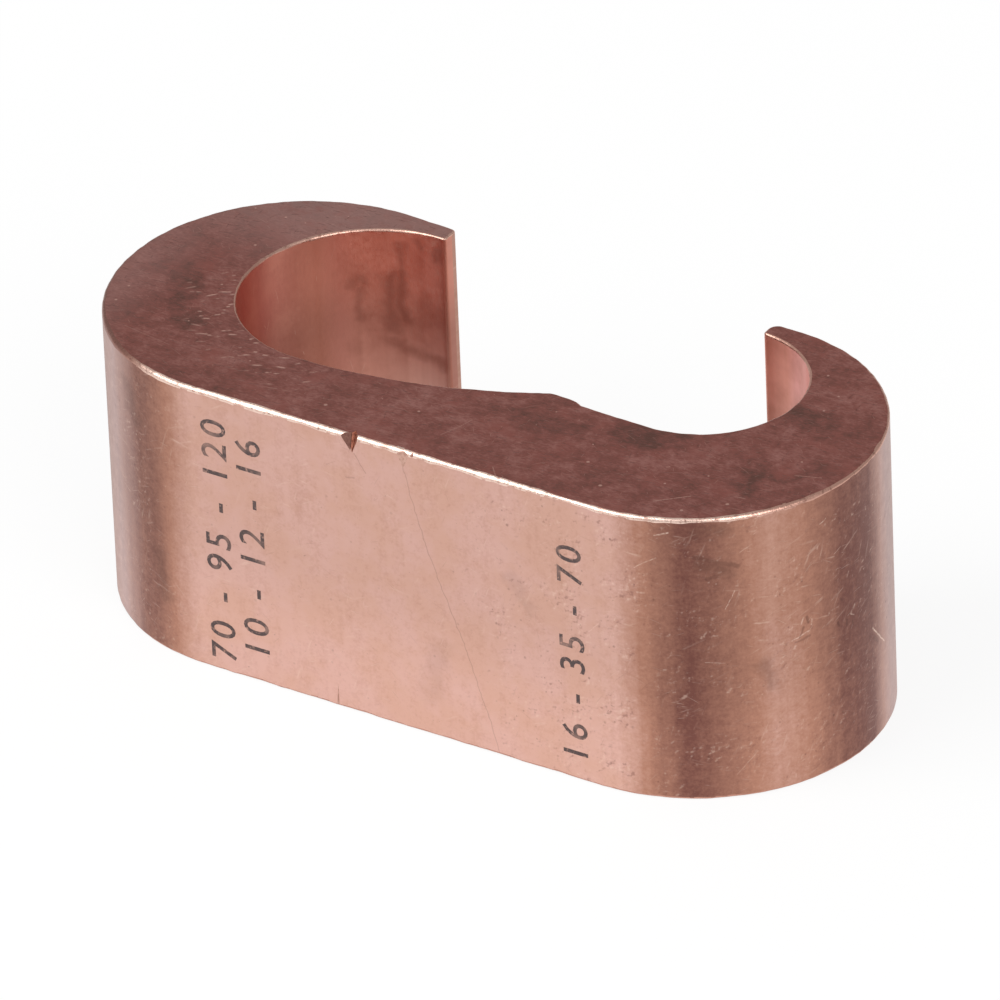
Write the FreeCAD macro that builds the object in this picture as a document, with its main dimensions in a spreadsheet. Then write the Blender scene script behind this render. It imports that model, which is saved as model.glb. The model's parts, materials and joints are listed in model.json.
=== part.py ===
import FreeCAD, Part
import os
import Sketcher
from FreeCAD import Vector as V
from math import acos, asin, atan2, cos, degrees, hypot, radians, sin, tan

# E-type compression grounding connector: one solid copper extrusion, sawn to length.
# It stands on a sawn end. +Z runs along the extrusion, the flat face that takes the print
# looks along -Y, and both conductor grooves open along +Y, the large one at -X.
# The origin is the middle of the bounding box, on the lower sawn end. Sizes are in millimetres.

NODE = "connector_body"

# Each size of the section and of the sawn length, and what it measures.
SIZES = [
    ("overall_length", 50.8, "across both rounded ends"),
    ("sawn_height", 19.2, "length of the extrusion left by the saw"),
    ("run_groove_radius", 7.86, "large groove, for a ground rod"),
    ("run_web", 6.0, "metal between the flat face and the floor of the large groove"),
    ("run_prong", 1.48, "metal between the top of the large groove and the back"),
    ("run_side_wall", 7.3, "metal outside the large groove, along X"),
    ("run_lip_reach", 3.96, "how far the large prong runs on from its rounded end's centre"),
    ("run_lip_corner", 0.3, "outer corner of the large prong's tip"),
    ("run_back_taper", 2.8, "degrees that the large prong's back falls towards its tip"),
    ("tap_groove_radius", 6.15, "small groove, for a stranded conductor"),
    ("tap_web", 9.3, "metal between the flat face and the floor of the small groove"),
    ("tap_prong", 1.24, "metal between the top of the small groove and the back"),
    ("tap_side_wall", 7.05, "metal outside the small groove, along X"),
    ("tap_lip_reach", 1.53, "how far the small prong runs on from its rounded end's centre"),
    ("tap_lip_corner", 0.68, "outer corner of the small prong's tip"),
    ("nub_rise", 0.5, "height of the low nub above the floor of the small groove"),
    ("nub_to_tap", 7.1, "from the nub's corner to the small groove's centre, along X"),
    ("nub_land", 1.0, "flat top of the nub"),
    ("nub_roll_width", 1.35, "rounded side of the nub towards the small groove"),
    ("nub_roll_drop", 0.36, "fall of that rounded side"),
    ("edge_round", 0.2, "rounded edge all round each sawn end"),
]

# Each rounded end is as deep as its web, its groove and its prong together.
RUN_END_RADIUS = "(Sizes.run_web + 2 * Sizes.run_groove_radius + Sizes.run_prong) / 2"
TAP_END_RADIUS = "(Sizes.tap_web + 2 * Sizes.tap_groove_radius + Sizes.tap_prong) / 2"


def make_sheet(doc):
    """Keep every driving size in a cell with an alias."""
    sheet = doc.addObject("Spreadsheet::Sheet", "Sizes")
    for row, (alias, value, meaning) in enumerate(SIZES, start=1):
        sheet.set(f"A{row}", meaning)
        sheet.set(f"B{row}", str(value))
        sheet.setAlias(f"B{row}", alias)
    doc.recompute()
    return sheet


def origin_plane(body, role):
    """The body's own origin plane with this role."""
    return next(item for item in body.Origin.OriginFeatures if item.Role == role)


def arc(centre, radius, start, end):
    """Counter-clockwise arc between two angles in degrees."""
    circle = Part.Circle(V(centre[0], centre[1], 0), V(0, 0, 1), radius)
    return Part.ArcOfCircle(circle, radians(start), radians(end))


def line(first, last):
    """Straight piece of the section."""
    return Part.LineSegment(V(first[0], first[1], 0), V(last[0], last[1], 0))


def on_circle(centre, radius, angle):
    """Point of a circle at an angle in degrees."""
    return (centre[0] + radius * cos(radians(angle)), centre[1] + radius * sin(radians(angle)))


def draw_section(sketch, sheet):
    """Draw the closed E section: flat face, two rounded ends, two grooves and the nub between."""
    # The flat face and the rounded ends that it runs into.
    run_end_radius = (sheet.run_web + 2 * sheet.run_groove_radius + sheet.run_prong) / 2
    tap_end_radius = (sheet.tap_web + 2 * sheet.tap_groove_radius + sheet.tap_prong) / 2
    front = -run_end_radius
    run_end = (run_end_radius - sheet.overall_length / 2, 0)
    tap_end = (sheet.overall_length / 2 - tap_end_radius, front + tap_end_radius)

    # The large groove, from its prong's tip round to its floor.
    run_groove = (sheet.run_side_wall + sheet.run_groove_radius - sheet.overall_length / 2,
                  front + sheet.run_web + sheet.run_groove_radius)
    run_tip_x = run_end[0] + sheet.run_lip_reach
    run_tip_angle = degrees(acos((run_tip_x - run_groove[0]) / sheet.run_groove_radius))

    # The small groove, from the straight piece of its floor round to its prong's tip.
    tap_groove = (sheet.overall_length / 2 - sheet.tap_side_wall - sheet.tap_groove_radius,
                  front + sheet.tap_web + sheet.tap_groove_radius)
    tap_tip_x = tap_end[0] - sheet.tap_lip_reach
    tap_tip_angle = degrees(acos((tap_tip_x - tap_groove[0]) / sheet.tap_groove_radius))

    # The nub, with its flat top and its rounded side, which meets the floor in a knee.
    nub_top = front + sheet.tap_web + sheet.nub_rise
    nub_corner = (tap_groove[0] - sheet.nub_to_tap, nub_top)
    nub_edge = (nub_corner[0] + sheet.nub_land, nub_top)
    knee = (nub_edge[0] + sheet.nub_roll_width, nub_top - sheet.nub_roll_drop)
    roll_radius = (sheet.nub_roll_width ** 2 + sheet.nub_roll_drop ** 2) / (2 * sheet.nub_roll_drop)
    roll_angle = degrees(acos(sheet.nub_roll_width / roll_radius))
    knee_away = hypot(tap_groove[0] - knee[0], tap_groove[1] - knee[1])
    knee_angle = degrees(atan2(knee[1] - tap_groove[1], knee[0] - tap_groove[0]))
    floor_angle = knee_angle + degrees(acos(sheet.tap_groove_radius / knee_away))

    # The ramp leaves the floor of the large groove level and ends at the nub's corner.
    ramp_run = nub_corner[0] - run_groove[0]
    ramp_rise = nub_corner[1] - front - sheet.run_web
    ramp_radius = (ramp_run ** 2 + ramp_rise ** 2) / (2 * ramp_rise)
    ramp_centre = (run_groove[0], front + sheet.run_web + ramp_radius)
    ramp_angle = 270 + degrees(asin(ramp_run / ramp_radius))

    # The back of the large prong leaves its rounded end at a slight slope.
    taper_normal = 90 - sheet.run_back_taper
    back_start = on_circle(run_end, run_end_radius, taper_normal)
    slope = tan(radians(sheet.run_back_taper))
    run_corner_x = run_tip_x - sheet.run_lip_corner
    run_corner_y = (back_start[1] - slope * (run_corner_x - back_start[0])
                    - sheet.run_lip_corner / cos(radians(sheet.run_back_taper)))
    run_corner = (run_corner_x, run_corner_y)
    back_end = on_circle(run_corner, sheet.run_lip_corner, taper_normal)

    tap_back = tap_end[1] + tap_end_radius
    tap_corner = (tap_tip_x + sheet.tap_lip_corner, tap_back - sheet.tap_lip_corner)

    shapes = [
        ("front_face", line((run_end[0], front), (tap_end[0], front))),
        ("tap_end", arc(tap_end, tap_end_radius, -90, 90)),
        ("tap_back", line((tap_end[0], tap_back), (tap_corner[0], tap_back))),
        ("tap_lip_corner", arc(tap_corner, sheet.tap_lip_corner, 90, 180)),
        ("tap_tip", line((tap_tip_x, tap_corner[1]),
                         on_circle(tap_groove, sheet.tap_groove_radius, tap_tip_angle))),
        ("tap_groove", arc(tap_groove, sheet.tap_groove_radius, floor_angle, tap_tip_angle)),
        ("tap_floor", line(on_circle(tap_groove, sheet.tap_groove_radius, floor_angle), knee)),
        ("nub_roll", arc((nub_edge[0], nub_top - roll_radius), roll_radius, roll_angle, 90)),
        ("nub_land", line(nub_edge, nub_corner)),
        ("ramp", arc(ramp_centre, ramp_radius, 270, ramp_angle)),
        ("run_groove", arc(run_groove, sheet.run_groove_radius, run_tip_angle, 270)),
        ("run_tip", line(on_circle(run_groove, sheet.run_groove_radius, run_tip_angle),
                         (run_tip_x, run_corner[1]))),
        ("run_lip_corner", arc(run_corner, sheet.run_lip_corner, 0, taper_normal)),
        ("run_back", line(back_end, back_start)),
        ("run_end", arc(run_end, run_end_radius, taper_normal, 270)),
    ]
    at = {}
    for name, shape in shapes:
        at[name] = sketch.addGeometry(shape, False)
    return at


def constrain_section(sketch, sheet, at):
    """Close and smooth the section, then tie its sizes to the sheet."""
    start, end, centre = 1, 2, 3
    origin = -1

    # The corners that stay sharp.
    for first, first_end, second, second_end in [
        ("tap_tip", end, "tap_groove", end),
        ("tap_floor", end, "nub_roll", start),
        ("nub_land", end, "ramp", end),
        ("run_groove", start, "run_tip", start),
    ]:
        sketch.addConstraint(Sketcher.Constraint(
            "Coincident", at[first], first_end, at[second], second_end))

    # The joints that run on smoothly.
    for first, first_end, second, second_end in [
        ("front_face", end, "tap_end", start),
        ("tap_end", end, "tap_back", start),
        ("tap_back", end, "tap_lip_corner", start),
        ("tap_lip_corner", end, "tap_tip", start),
        ("tap_groove", start, "tap_floor", start),
        ("nub_roll", end, "nub_land", start),
        ("ramp", start, "run_groove", end),
        ("run_tip", end, "run_lip_corner", start),
        ("run_lip_corner", end, "run_back", start),
        ("run_back", end, "run_end", start),
        ("run_end", end, "front_face", start),
    ]:
        sketch.addConstraint(Sketcher.Constraint(
            "Tangent", at[first], first_end, at[second], second_end))

    for name in ("front_face", "tap_back", "nub_land"):
        sketch.addConstraint(Sketcher.Constraint("Horizontal", at[name]))
    for name in ("tap_tip", "run_tip"):
        sketch.addConstraint(Sketcher.Constraint("Vertical", at[name]))

    def size(kind, name, expression, *where):
        index = sketch.addConstraint(Sketcher.Constraint(kind, *where))
        sketch.renameConstraint(index, name)
        sketch.setExpression("Constraints." + name, expression)

    def radius_of(arc_name, expression):
        index = at[arc_name]
        size("Radius", "radius_" + arc_name, expression, index, sketch.Geometry[index].Radius)

    def place(name, point, along, expression):
        index = at[name]
        here = sketch.getPoint(index, point)
        value = here.x if along == "X" else here.y
        label = f"{name}_{along.lower()}_{point}"
        size("Distance" + along, label, expression, origin, start, index, point, value)

    radius_of("run_end", RUN_END_RADIUS)
    radius_of("tap_end", TAP_END_RADIUS)
    radius_of("run_groove", "Sizes.run_groove_radius")
    radius_of("tap_groove", "Sizes.tap_groove_radius")
    radius_of("run_lip_corner", "Sizes.run_lip_corner")
    radius_of("tap_lip_corner", "Sizes.tap_lip_corner")

    left = "-Sizes.overall_length / 2"
    right = "Sizes.overall_length / 2"
    front = "-" + RUN_END_RADIUS
    run_x = left + " + Sizes.run_side_wall + Sizes.run_groove_radius"
    tap_x = right + " - Sizes.tap_side_wall - Sizes.tap_groove_radius"
    nub_x = tap_x + " - Sizes.nub_to_tap"
    nub_y = front + " + Sizes.tap_web + Sizes.nub_rise"
    place("run_end", centre, "X", left + " + " + RUN_END_RADIUS)
    place("run_end", centre, "Y", "0")
    place("tap_end", centre, "X", right + " - " + TAP_END_RADIUS)
    place("run_groove", centre, "X", run_x)
    place("run_groove", centre, "Y", front + " + Sizes.run_web + Sizes.run_groove_radius")
    place("run_groove", end, "X", run_x)
    place("run_tip", start, "X", left + " + " + RUN_END_RADIUS + " + Sizes.run_lip_reach")
    place("tap_groove", centre, "X", tap_x)
    place("tap_groove", centre, "Y", front + " + Sizes.tap_web + Sizes.tap_groove_radius")
    place("tap_tip", end, "X", right + " - " + TAP_END_RADIUS + " - Sizes.tap_lip_reach")
    place("nub_land", end, "X", nub_x)
    place("nub_land", end, "Y", nub_y)
    place("nub_land", start, "X", nub_x + " + Sizes.nub_land")
    place("nub_roll", start, "X", nub_x + " + Sizes.nub_land + Sizes.nub_roll_width")
    place("nub_roll", start, "Y", nub_y + " - Sizes.nub_roll_drop")
    size("Angle", "run_back_slope", "(180 - Sizes.run_back_taper) * 1 deg",
         at["run_back"], radians(180 - sheet.run_back_taper))


def sawn_edges(body, height):
    """Names of the edges that lie wholly in either sawn end."""
    hair = 1e-6
    names = []
    for number, edge in enumerate(body.Shape.Edges, start=1):
        box = edge.BoundBox
        low = abs(box.ZMin) < hair
        high = abs(box.ZMin - height) < hair
        if box.ZLength < hair and (low or high):
            names.append(f"Edge{number}")
    return names


def make_connector(doc, sheet):
    """The extruded body, sawn square at both ends and lightly rounded round the cuts."""
    body = doc.addObject("PartDesign::Body", "Connector")
    body.Label = NODE

    section = body.newObject("Sketcher::SketchObject", "Section")
    section.AttachmentSupport = (origin_plane(body, "XY_Plane"), [""])
    section.MapMode = "FlatFace"
    at = draw_section(section, sheet)
    constrain_section(section, sheet, at)
    doc.recompute()

    extrusion = body.newObject("PartDesign::Pad", "Extrusion")
    extrusion.Profile = section
    extrusion.setExpression("Length", "Sizes.sawn_height")
    doc.recompute()

    rounding = body.newObject("PartDesign::Fillet", "SawnEdges")
    rounding.Base = (extrusion, sawn_edges(body, sheet.sawn_height))
    rounding.setExpression("Radius", "Sizes.edge_round")
    doc.recompute()
    return body


def check_document(doc, bodies):
    """Stop before anything is written if an object or a shape failed."""
    for item in doc.Objects:
        if "Invalid" in item.State or "Error" in item.State:
            raise RuntimeError(f"{item.Name} failed: {item.State}")
    for body in bodies:
        if body.Shape.isNull() or not body.Shape.isValid() or len(body.Shape.Solids) != 1:
            raise RuntimeError(f"{body.Label} is not one valid solid")


def main():
    doc = FreeCAD.newDocument("grounding_connector")
    sheet = make_sheet(doc)
    connector = make_connector(doc, sheet)
    doc.recompute()
    check_document(doc, [connector])
    os.makedirs("parts", exist_ok=True)
    connector.Shape.exportStep("parts/" + connector.Label + ".step")
    box = connector.Shape.optimalBoundingBox()
    print(connector.Label, "volume", round(connector.Shape.Volume, 1), "mm3",
          "size", round(box.XLength, 2), round(box.YLength, 2), round(box.ZLength, 2))


main()
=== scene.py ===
import json
from math import acos, asin, atan2, cos, degrees, exp, hypot, radians, sin, tan

import bpy
from mathutils import Matrix, Vector, noise
from mathutils.kdtree import KDTree

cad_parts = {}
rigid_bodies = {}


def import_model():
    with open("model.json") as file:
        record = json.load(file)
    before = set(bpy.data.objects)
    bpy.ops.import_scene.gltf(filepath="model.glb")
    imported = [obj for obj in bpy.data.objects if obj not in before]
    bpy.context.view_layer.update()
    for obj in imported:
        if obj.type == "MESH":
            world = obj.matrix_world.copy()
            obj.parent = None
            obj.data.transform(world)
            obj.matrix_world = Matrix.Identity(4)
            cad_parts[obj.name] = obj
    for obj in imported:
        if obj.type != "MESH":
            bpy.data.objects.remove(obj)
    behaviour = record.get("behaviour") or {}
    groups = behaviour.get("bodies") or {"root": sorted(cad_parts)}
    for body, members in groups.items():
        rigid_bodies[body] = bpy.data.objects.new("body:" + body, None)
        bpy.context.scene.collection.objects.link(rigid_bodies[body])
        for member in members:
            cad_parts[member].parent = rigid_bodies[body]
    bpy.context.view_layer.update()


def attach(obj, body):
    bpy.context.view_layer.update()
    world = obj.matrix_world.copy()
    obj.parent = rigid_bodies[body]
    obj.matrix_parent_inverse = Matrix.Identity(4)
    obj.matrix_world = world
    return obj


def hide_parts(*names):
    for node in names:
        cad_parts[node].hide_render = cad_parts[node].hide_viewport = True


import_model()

MM = 0.001

# Section of the extrusion, in millimetres, as the solid has it.
HEIGHT = 19.2
RUN_END_RADIUS = 11.6
TAP_END_RADIUS = 11.42
FRONT = -RUN_END_RADIUS
RUN_END = (-13.8, 0.0)
TAP_END = (13.98, FRONT + TAP_END_RADIUS)
RUN_GROOVE = (-10.24, 2.26)
RUN_GROOVE_RADIUS = 7.86
RUN_TIP_X = -9.84
RUN_LIP_CORNER = 0.3
RUN_BACK_TAPER = 2.8
TAP_GROOVE = (12.2, 3.85)
TAP_GROOVE_RADIUS = 6.15
TAP_TIP_X = 12.45
TAP_LIP_CORNER = 0.68
NUB_CORNER = (5.1, -1.8)
NUB_EDGE_X = 6.1
KNEE = (7.45, -2.16)

# How finely the section is drawn, in millimetres. An arc smaller than SMALL_ARC gets the
# points of one of that radius, and points within MERGE_GAP become one.
POINT_SPACING = 0.25
SMALL_ARC = 1.2
FEWEST_ARC_STEPS = 3
MERGE_GAP = 0.02

# Worn edges, in millimetres. Every sawn edge is rounded by RIM_ROUND and every sharp corner
# by CORNER_ROUND. The rims are then worn wider or narrower by place.
RIM_ROUND = 0.18
CORNER_ROUND = 0.22
RIM_SEGMENTS = 7
FRONT_RIM = 0.31
FRONT_RIM_TAPER = 0.05
OTHER_RIM = 0.17
LIP_RIM = 0.13
FRONT_RIM_TAPER_X = (2, 16)
FRONT_RIM_END_Y = (-7, 0)
LIP_REACH = 1.5
LIP_START_Y = 8
RIM_UNEVENNESS = 0.35
RIM_WAVES = (0.45, 1.5)

# Points are taken as level, or as lying on an upright corner, within these millimetres.
LEVEL_WITHIN = 0.002
CORNER_WITHIN = 0.03

# Roughness of the rims, in millimetres: its height, its grain, its share everywhere, and its
# reach round the burrs that stand out on the top rim.
BURR_HEIGHT = 0.08
BURR_SIZE = 0.7
BURRS_EVERYWHERE = 0.45
BURR_REACH = 0.5
BURRS = (
    (-9.7, 10.3), (-18.1, 1.2), (19.8, -10.1), (21.0, -9.7), (-3.9, -11.5), (0.3, -11.5),
    (-12.5, -11.5))

# Nicks in the edges, as V cuts: name, finish, the two ends of the bottom, with y measured from
# the flat front, half width over depth, depth, and turn in degrees. They open outwards and up.
NICKS = (
    # The deep nick's dark finish is painted shade inside it.
    ("deep_nick", "bruised_copper", (-2.66, -0.14, 17.7), (-2.78, 0.6, 20.1), 1.9, 0.6, -6),
    ("nick_core", "scuffed_copper", (-2.56, -0.05, 17.9), (-2.60, 1.05, 20.1), 0.6, 0.5, 14),
    ("shallow_nick", "scuffed_copper", (0.95, -0.06, 17.4), (1.1, 0.2, 20.0), 4.5, 0.2, 0),
    ("rim_gap", "scuffed_copper", (1.6, 0.06, 18.9), (1.66, 0.24, 19.4), 1.2, 0.3, 0),
    ("foot_cut", "scuffed_copper", (-4.37, 0.07, 0.04), (-4.26, -0.02, 2.0), 1.2, 0.3, 0))
NICK_OPENS_TO = (0, -1, 0.6)

# The finishes of the solid. A face is sawn if it looks up or down by more than SAWN_TILT, and
# part of a rim if by more than RIM_TILT. Walls within SKIN_REACH of the outline are its skin.
FINISHES = ("rolled_copper", "sawn_copper", "worn_edge", "run_groove_copper", "tap_groove_copper")
SAWN_TILT = 0.97
RIM_TILT = 0.06
SKIN_REACH = 0.6

# Faces that meet at more than this angle, in degrees, are shaded with a sharp edge.
SHARP_ANGLE = 28
FLAT_FACE_WEIGHT = 80


def select_none():
    """Leave nothing selected, so that an operator acts on its own piece only."""
    for item in bpy.context.scene.objects:
        item.select_set(False)


def make_active(piece):
    select_none()
    bpy.context.view_layer.objects.active = piece
    piece.select_set(True)


def apply_modifier(piece, kind, name, **settings):
    """Add one modifier with these settings and apply it."""
    make_active(piece)
    modifier = piece.modifiers.new(name, kind)
    for key, value in settings.items():
        setattr(modifier, key, value)
    bpy.ops.object.modifier_apply(modifier=modifier.name)


def go_straight(here, there):
    """Extrude the selected point along a straight piece of the section."""
    dx = there[0] - here[0]
    dy = there[1] - here[1]
    steps = max(1, round(hypot(dx, dy) / POINT_SPACING))
    for _ in range(steps):
        bpy.ops.mesh.extrude_region_move(
            TRANSFORM_OT_translate={"value": (dx / steps * MM, dy / steps * MM, 0)})
    return there


def go_round(centre, radius, start, end):
    """Spin the selected point about a centre, between two angles in degrees."""
    sweep = end - start
    length = abs(radians(sweep)) * max(radius, SMALL_ARC)
    steps = max(FEWEST_ARC_STEPS, round(length / POINT_SPACING))
    bpy.ops.mesh.spin(steps=steps, angle=-radians(sweep),
                      center=(centre[0] * MM, centre[1] * MM, 0), axis=(0, 0, 1))
    return (centre[0] + radius * cos(radians(end)), centre[1] + radius * sin(radians(end)))


def tip_of(tip_x, groove, radius):
    """Where a groove's wall meets the tip of its prong: the angle round the groove, and the y."""
    angle = degrees(acos((tip_x - groove[0]) / radius))
    return angle, groove[1] + radius * sin(radians(angle))


def draw_section():
    """Walk once round the section with one point, by straight runs and arcs."""
    here = (RUN_END[0], FRONT)
    bpy.ops.mesh.primitive_plane_add(size=MM, location=(here[0] * MM, here[1] * MM, 0))
    piece = bpy.context.active_object
    bpy.ops.object.mode_set(mode="EDIT")
    bpy.ops.mesh.select_all(action="SELECT")
    bpy.ops.mesh.merge(type="CENTER")

    here = go_straight(here, (TAP_END[0], FRONT))
    here = go_round(TAP_END, TAP_END_RADIUS, -90, 90)
    tap_back = TAP_END[1] + TAP_END_RADIUS
    here = go_straight(here, (TAP_TIP_X + TAP_LIP_CORNER, tap_back))
    corner = (TAP_TIP_X + TAP_LIP_CORNER, tap_back - TAP_LIP_CORNER)
    here = go_round(corner, TAP_LIP_CORNER, 90, 180)
    tap_tip_angle, tap_tip_y = tip_of(TAP_TIP_X, TAP_GROOVE, TAP_GROOVE_RADIUS)
    here = go_straight(here, (TAP_TIP_X, tap_tip_y))
    knee_away = hypot(TAP_GROOVE[0] - KNEE[0], TAP_GROOVE[1] - KNEE[1])
    knee_angle = degrees(atan2(KNEE[1] - TAP_GROOVE[1], KNEE[0] - TAP_GROOVE[0]))
    floor_angle = knee_angle + degrees(acos(TAP_GROOVE_RADIUS / knee_away))
    here = go_round(TAP_GROOVE, TAP_GROOVE_RADIUS, tap_tip_angle, floor_angle)
    here = go_straight(here, KNEE)

    roll_width = KNEE[0] - NUB_EDGE_X
    roll_drop = NUB_CORNER[1] - KNEE[1]
    roll_radius = (roll_width ** 2 + roll_drop ** 2) / (2 * roll_drop)
    roll_centre = (NUB_EDGE_X, NUB_CORNER[1] - roll_radius)
    here = go_round(roll_centre, roll_radius, degrees(acos(roll_width / roll_radius)), 90)
    here = go_straight(here, NUB_CORNER)

    run_floor = (RUN_GROOVE[0], RUN_GROOVE[1] - RUN_GROOVE_RADIUS)
    ramp_run = NUB_CORNER[0] - run_floor[0]
    ramp_rise = NUB_CORNER[1] - run_floor[1]
    ramp_radius = (ramp_run ** 2 + ramp_rise ** 2) / (2 * ramp_rise)
    ramp_centre = (run_floor[0], run_floor[1] + ramp_radius)
    here = go_round(ramp_centre, ramp_radius, 270 + degrees(asin(ramp_run / ramp_radius)), 270)
    run_tip_angle = tip_of(RUN_TIP_X, RUN_GROOVE, RUN_GROOVE_RADIUS)[0]
    here = go_round(RUN_GROOVE, RUN_GROOVE_RADIUS, 270, run_tip_angle)

    normal = 90 - RUN_BACK_TAPER
    back_start = (RUN_END[0] + RUN_END_RADIUS * cos(radians(normal)),
                  RUN_END[1] + RUN_END_RADIUS * sin(radians(normal)))
    corner_x = RUN_TIP_X - RUN_LIP_CORNER
    corner_y = (back_start[1] - tan(radians(RUN_BACK_TAPER)) * (corner_x - back_start[0])
                - RUN_LIP_CORNER / cos(radians(RUN_BACK_TAPER)))
    here = go_straight(here, (RUN_TIP_X, corner_y))
    here = go_round((corner_x, corner_y), RUN_LIP_CORNER, 0, normal)
    here = go_straight(here, back_start)
    go_round(RUN_END, RUN_END_RADIUS, normal, 270)

    bpy.ops.mesh.select_all(action="SELECT")
    bpy.ops.mesh.remove_doubles(threshold=MERGE_GAP * MM)
    bpy.ops.mesh.select_all(action="SELECT")
    bpy.ops.mesh.edge_face_add()
    return piece


def part_way(value, start, end):
    """How far a value has gone from start to end, from 0 to 1."""
    return min(1, max(0, (value - start) / (end - start)))


def rim_width(place):
    """How wide the worn rim is at a place on a sawn edge, in millimetres."""
    x, y, z = place
    width = OTHER_RIM
    on_outside = from_spine(x, y) > RUN_END_RADIUS - SKIN_REACH
    if z > HEIGHT / 2 and y < 0 and on_outside:
        width = FRONT_RIM - FRONT_RIM_TAPER * part_way(x, *FRONT_RIM_TAPER_X)
        width -= (width - OTHER_RIM) * part_way(y, *FRONT_RIM_END_Y)
    if RUN_TIP_X - LIP_REACH < x < TAP_TIP_X + LIP_REACH and y > LIP_START_Y:
        width = LIP_RIM
    slow = noise.noise(Vector((x, y, z)) * RIM_WAVES[0])
    quick = noise.noise(Vector((x + 40, y, z)) * RIM_WAVES[1])
    return width * (1 + RIM_UNEVENNESS * (slow + 0.8 * quick))


def from_spine(x, y):
    """Distance from the straight line between the two end centres, in millimetres."""
    beyond = x - min(max(x, RUN_END[0]), TAP_END[0])
    return hypot(beyond, y)


def is_upright_corner(x, y):
    """Whether the walls meet at a sharp upright corner there."""
    run_tip = (RUN_TIP_X, tip_of(RUN_TIP_X, RUN_GROOVE, RUN_GROOVE_RADIUS)[1])
    tap_tip = (TAP_TIP_X, tip_of(TAP_TIP_X, TAP_GROOVE, TAP_GROOVE_RADIUS)[1])
    corners = (run_tip, tap_tip, NUB_CORNER)
    return min(hypot(x - corner[0], y - corner[1]) for corner in corners) < CORNER_WITHIN


def round_rims(piece):
    """Bevel the sawn edges and the sharp upright corners."""
    mesh = piece.data
    shares = mesh.attributes.new("bevel_weight_edge", "FLOAT", "EDGE")
    for edge in mesh.edges:
        first = mesh.vertices[edge.vertices[0]].co
        second = mesh.vertices[edge.vertices[1]].co
        if abs(first.z - second.z) < LEVEL_WITHIN * MM:
            shares.data[edge.index].value = RIM_ROUND / CORNER_ROUND
        elif is_upright_corner(first.x / MM, first.y / MM):
            shares.data[edge.index].value = 1.0
    apply_modifier(piece, "BEVEL", "Rims", limit_method="WEIGHT", width=CORNER_ROUND * MM,
                   segments=RIM_SEGMENTS, profile=0.5, use_clamp_overlap=False)


def wall_ends(mesh):
    """The points where the upright walls meet the rims."""
    ends = set()
    for edge in mesh.edges:
        first, second = edge.vertices
        if abs(mesh.vertices[first].co.z - mesh.vertices[second].co.z) > HEIGHT * MM / 2:
            ends.update((first, second))
    return ends


def wear_rims(piece):
    """Scale each rim about the sharp edge that it came from, so that it runs wide and narrow."""
    mesh = piece.data
    ends = wall_ends(mesh)
    outline = KDTree(len(ends))
    for index in ends:
        x, y, z = mesh.vertices[index].co / MM
        outline.insert((x, y, HEIGHT if z > HEIGHT / 2 else 0), index)
    outline.balance()
    moved = {}
    for vertex in mesh.vertices:
        x, y, z = vertex.co / MM
        end = HEIGHT if z > HEIGHT / 2 else 0
        edge = outline.find((x, y, end))[0]
        wear = rim_width(edge) / RIM_ROUND
        moved[vertex.index] = edge + wear * (Vector((x, y, z)) - edge)
    for index, place in moved.items():
        mesh.vertices[index].co = place * MM


def roughen_rims(piece):
    """Leave small burrs and dents on the rims, but keep the cut faces and walls true."""
    mesh = piece.data
    still = wall_ends(mesh)
    group = piece.vertex_groups.new(name="rims")
    for vertex in mesh.vertices:
        x, y, z = vertex.co / MM
        flat = min(abs(z), abs(z - HEIGHT)) < LEVEL_WITHIN
        if flat or vertex.index in still:
            continue
        nearest = min(hypot(x - burr[0], y - burr[1]) for burr in BURRS)
        swell = 1 - BURRS_EVERYWHERE if z > HEIGHT / 2 else 0
        weight = BURRS_EVERYWHERE + swell * exp(-(nearest / BURR_REACH) ** 2)
        group.add([vertex.index], weight, "REPLACE")
    burr = bpy.data.textures.new("burr", "CLOUDS")
    burr.noise_scale = BURR_SIZE * MM
    apply_modifier(piece, "DISPLACE", "Burrs", texture=burr, texture_coords="LOCAL", mid_level=0.5,
                   strength=BURR_HEIGHT * MM, vertex_group="rims")
    piece.vertex_groups.clear()


def cut_nick(piece, name, finish, start, end, slope, deep, turn):
    """Cut one V, as a row of NICKS gives it."""
    start = Vector((start[0], FRONT + start[1], start[2])) * MM
    end = Vector((end[0], FRONT + end[1], end[2])) * MM
    along = (end - start).normalized()
    outward = Vector(NICK_OPENS_TO)
    outward = (outward - along * outward.dot(along)).normalized()
    outward = Matrix.Rotation(radians(turn), 3, along) @ outward
    aside = outward.cross(along)
    select_none()
    bpy.ops.mesh.primitive_cylinder_add(vertices=4, radius=1, depth=1)
    bar = bpy.context.active_object
    bar.name = name
    tall = deep * MM
    middle = (start + end) / 2 + outward * tall
    wide = aside * (slope * tall)
    high = outward * tall
    length = along * (end - start).length
    bar.matrix_world = Matrix((
        (wide.x, high.x, length.x, middle.x),
        (wide.y, high.y, length.y, middle.y),
        (wide.z, high.z, length.z, middle.z),
        (0, 0, 0, 1)))
    bar.data.materials.append(bpy.data.materials[finish])
    bpy.context.view_layer.update()
    apply_modifier(piece, "BOOLEAN", name, object=bar, operation="DIFFERENCE", solver="EXACT",
                   material_mode="TRANSFER")
    bpy.data.objects.remove(bar)


def finish_of(face):
    """Which finish a face has, by where it lies and which way it looks."""
    x, y, z = face.center / MM
    if abs(face.normal.z) > SAWN_TILT:
        return "sawn_copper"
    if abs(face.normal.z) > RIM_TILT:
        return "worn_edge"
    if from_spine(x, y) > RUN_END_RADIUS - SKIN_REACH:
        return "rolled_copper"
    if x < NUB_CORNER[0]:
        return "run_groove_copper"
    return "tap_groove_copper"


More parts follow.
